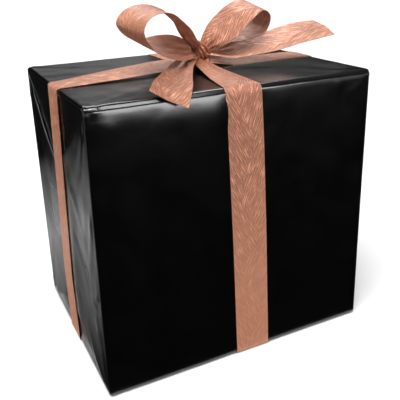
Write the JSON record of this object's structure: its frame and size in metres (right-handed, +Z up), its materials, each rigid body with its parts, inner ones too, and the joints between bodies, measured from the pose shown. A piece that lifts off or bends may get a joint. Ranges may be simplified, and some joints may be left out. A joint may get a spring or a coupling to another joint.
{
  "type": "wrapped gift box",
  "caption": "Nearly cubic gift parcel in black satin paper over a closed carton, tied both ways with a wide copper ribbon and a looped bow on top.",
  "frame": {"origin": "middle of the underside, on the plane that the ribbon rests on", "axes": "+Z up, the front face looks along -Y, +X to the right seen from the front"},
  "size_m": [0.3154, 0.2538, 0.3758],
  "materials": {
    "black_paper": "black satin-gloss wrapping paper with soft folds",
    "copper_ribbon": "copper satin ribbon with a fine embossed feather pattern",
    "carton_board": "plain brown corrugated board",
    "clear_tape": "clear adhesive tape",
    "parcel_tape": "brown parcel tape"
  },
  "bodies": {
    "parcel": {"carton_sleeve": "carton_board", "carton_glue_tab": "carton_board", "carton_top_flap_left": "carton_board", "carton_top_flap_right": "carton_board", "carton_top_flap_front": "carton_board", "carton_top_flap_back": "carton_board", "carton_bottom_flap_left": "carton_board", "carton_bottom_flap_right": "carton_board", "carton_bottom_flap_front": "carton_board", "carton_bottom_flap_back": "carton_board", "carton_tape_top": "parcel_tape", "carton_tape_bottom": "parcel_tape", "paper_sleeve": "black_paper", "left_end_top_fold": "black_paper", "left_end_bottom_fold": "black_paper", "left_end_front_fold": "black_paper", "left_end_back_fold": "black_paper", "right_end_top_fold": "black_paper", "right_end_bottom_fold": "black_paper", "right_end_front_fold": "black_paper", "right_end_back_fold": "black_paper", "paper_seam_tape": "clear_tape", "left_end_tape": "clear_tape", "right_end_tape": "clear_tape", "ribbon_left": "copper_ribbon", "ribbon_right": "copper_ribbon", "ribbon_front": "copper_ribbon", "ribbon_back": "copper_ribbon", "ribbon_under_long": "copper_ribbon", "ribbon_under_short": "copper_ribbon", "under_knot": "copper_ribbon", "knot": "copper_ribbon", "knot_core": "copper_ribbon"},
    "left_loop": {"left_loop": "copper_ribbon"},
    "right_loop": {"right_loop": "copper_ribbon"},
    "front_tail": {"front_tail": "copper_ribbon"},
    "right_tail": {"right_tail": "copper_ribbon"}
  },
  "joints": [
    {"name": "left_loop_flex", "type": "hinge", "parent": "parcel", "child": "left_loop", "pos_m": [0.015, 0.002, 0.318], "axis": [-0.4108, 0.9117, 0], "range_deg": [-2, 25], "stiffness_Nm_per_rad": 0.1},
    {"name": "right_loop_flex", "type": "hinge", "parent": "parcel", "child": "right_loop", "pos_m": [0.015, 0.002, 0.318], "axis": [-0.1015, -0.9948, 0], "range_deg": [-2, 20], "stiffness_Nm_per_rad": 0.1},
    {"name": "front_tail_swing", "type": "hinge", "parent": "parcel", "child": "front_tail", "pos_m": [0.015, 0.002, 0.318], "axis": [0, 0, 1], "range_deg": [0, 15], "stiffness_Nm_per_rad": 0.05},
    {"name": "right_tail_flex", "type": "hinge", "parent": "parcel", "child": "right_tail", "pos_m": [0.015, 0.002, 0.318], "axis": [-0.2983, -0.9545, 0], "range_deg": [-10, 1.5], "stiffness_Nm_per_rad": 0.1}
  ]
}
